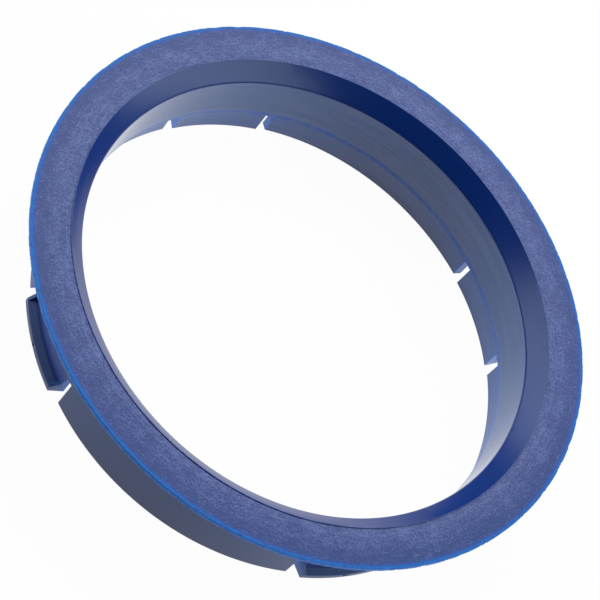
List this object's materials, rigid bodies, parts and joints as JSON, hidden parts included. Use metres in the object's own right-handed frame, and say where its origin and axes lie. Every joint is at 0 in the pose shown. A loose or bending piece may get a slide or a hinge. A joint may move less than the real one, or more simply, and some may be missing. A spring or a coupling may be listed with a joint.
{
  "type": "hub centric ring",
  "caption": "Flanged plastic hub centric ring: a plain bore for the car's hub, a cone flange and a slit skirt with snap tabs that centre it in a wheel's larger centre bore.",
  "frame": {"origin": "on the ring's axis, in the plane of the skirt's rear edge, which the ring stands on", "axes": "+Z along the axis, out of the flange face; +X and +Y through the middles of two snap tabs"},
  "size_m": [0.0806, 0.0806, 0.015],
  "materials": {
    "blue_plastic": "fibre-filled moulded plastic, mottled violet blue, with a thin see-through blue rim"
  },
  "bodies": {
    "root": {"centering_ring": "blue_plastic"}
  },
  "joints": []
}
